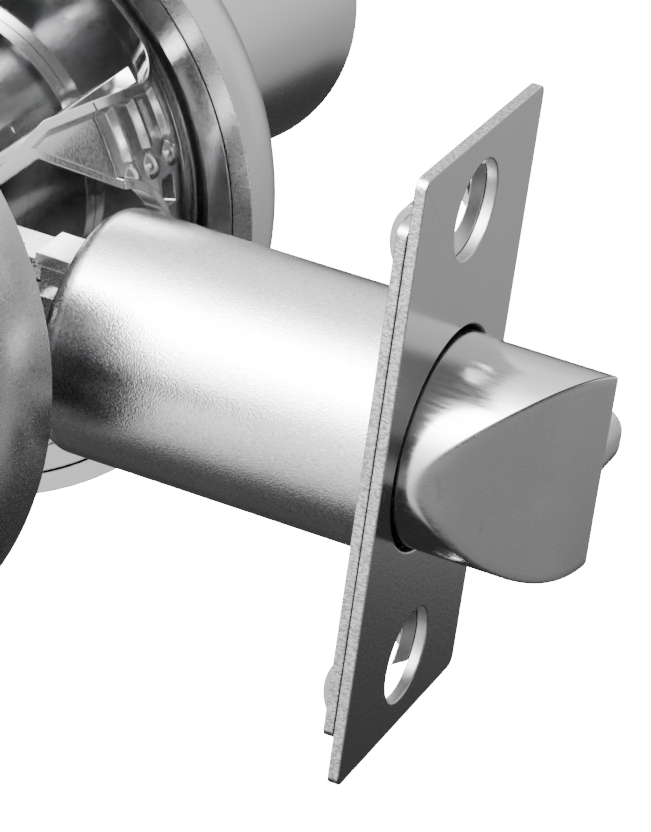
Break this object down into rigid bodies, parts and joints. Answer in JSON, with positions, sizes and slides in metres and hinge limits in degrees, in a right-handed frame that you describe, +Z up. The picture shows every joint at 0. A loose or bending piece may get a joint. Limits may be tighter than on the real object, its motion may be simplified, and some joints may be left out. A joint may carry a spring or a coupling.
{
  "type": "lever lockset",
  "caption": "Lever lockset for a hinged door: cylindrical case, spring latch with deadlatch plunger and square-cornered face plate, two domed round roses and two straight levers.",
  "frame": {"origin": "where the spindle axis crosses the latch axis, in the middle of the door's thickness", "axes": "+X out of the door's edge along the latch bolt, +Y along the spindle to the inside lever, +Z up"},
  "size_m": [0.1859, 0.1658, 0.0662],
  "materials": {
    "satin_steel": "satin",
    "zinc_steel": "zinc-plated",
    "bright_chrome": "polished",
    "spring_steel": "drawn wire",
    "satin_chrome": "satin",
    "key_brass": "satin nickel-plated"
  },
  "bodies": {
    "lock_frame": {"latch_faceplate": "satin_steel", "latch_backplate": "satin_steel", "latch_barrel": "zinc_steel", "latch_guide": "zinc_steel", "bolt_spring": "spring_steel", "plunger_spring": "spring_steel", "case_inside_half": "bright_chrome", "case_outside_half": "bright_chrome", "case_tie_bars": "bright_chrome", "inside_hub": "bright_chrome", "outside_hub": "bright_chrome", "inside_hub_nut": "bright_chrome", "outside_hub_nut": "bright_chrome", "outside_cam": "zinc_steel", "retractor_springs": "spring_steel", "through_screws": "zinc_steel", "outside_posts": "zinc_steel", "inside_liner": "zinc_steel", "outside_liner": "zinc_steel", "inside_return_spring": "spring_steel", "outside_return_spring": "spring_steel", "inside_rose": "satin_chrome", "outside_rose": "satin_chrome"},
    "inside_lever": {"inside_lever": "satin_chrome", "inside_lever_catch": "zinc_steel", "inside_spindle": "bright_chrome", "inside_return_driver": "zinc_steel"},
    "outside_lever": {"outside_lever": "satin_chrome", "outside_lever_catch": "zinc_steel", "outside_spindle": "bright_chrome", "outside_return_driver": "zinc_steel", "key_cylinder": "satin_chrome"},
    "retractor": {"retractor": "zinc_steel"},
    "bolt": {"latch_bolt": "satin_steel", "bolt_tail": "zinc_steel", "bolt_tail_pin": "zinc_steel"},
    "plunger": {"deadlatch_plunger": "satin_steel"},
    "key_plug": {"key_plug": "key_brass", "key_tailpiece": "zinc_steel"},
    "turn_button": {"turn_button": "satin_chrome", "lock_rod": "zinc_steel"}
  },
  "joints": [
    {"name": "inside_lever_turn", "type": "hinge", "parent": "lock_frame", "child": "inside_lever", "pos_m": [0, 0, 0], "axis": [0, -1, 0], "range_deg": [0, 60], "stiffness_Nm_per_rad": 0.8, "springref_deg": -28.65, "deforming": ["inside_return_spring"]},
    {"name": "outside_lever_turn", "type": "hinge", "parent": "lock_frame", "child": "outside_lever", "pos_m": [0, 0, 0], "axis": [0, -1, 0], "range_deg": [0, 60], "stiffness_Nm_per_rad": 0.8, "springref_deg": -28.65, "deforming": ["outside_return_spring"]},
    {"name": "retractor_slide", "type": "slide", "parent": "lock_frame", "child": "retractor", "axis": [1, 0, 0], "range_m": [-0.0136, 0], "deforming": ["retractor_springs"]},
    {"name": "bolt_slide", "type": "slide", "parent": "lock_frame", "child": "bolt", "axis": [1, 0, 0], "range_m": [-0.0136, 0], "deforming": ["bolt_spring"]},
    {"name": "plunger_slide", "type": "slide", "parent": "lock_frame", "child": "plunger", "axis": [1, 0, 0], "range_m": [-0.0128, 0], "stiffness_N_per_m": 60, "springref_m": 0.02, "deforming": ["plunger_spring"]},
    {"name": "key_plug_turn", "type": "hinge", "parent": "outside_lever", "child": "key_plug", "pos_m": [0, -0.0793, 0], "axis": [0, -1, 0], "range_deg": [-90, 90]},
    {"name": "turn_button_turn", "type": "hinge", "parent": "inside_lever", "child": "turn_button", "pos_m": [0, 0.0793, 0], "axis": [0, 1, 0], "range_deg": [0, 90]}
  ],
  "couplings": [
    {"joint": "retractor_slide", "follows": "inside_lever_turn", "m_per_rad": -0.012987},
    {"joint": "bolt_slide", "follows": "inside_lever_turn", "m_per_rad": -0.012987}
  ]
}
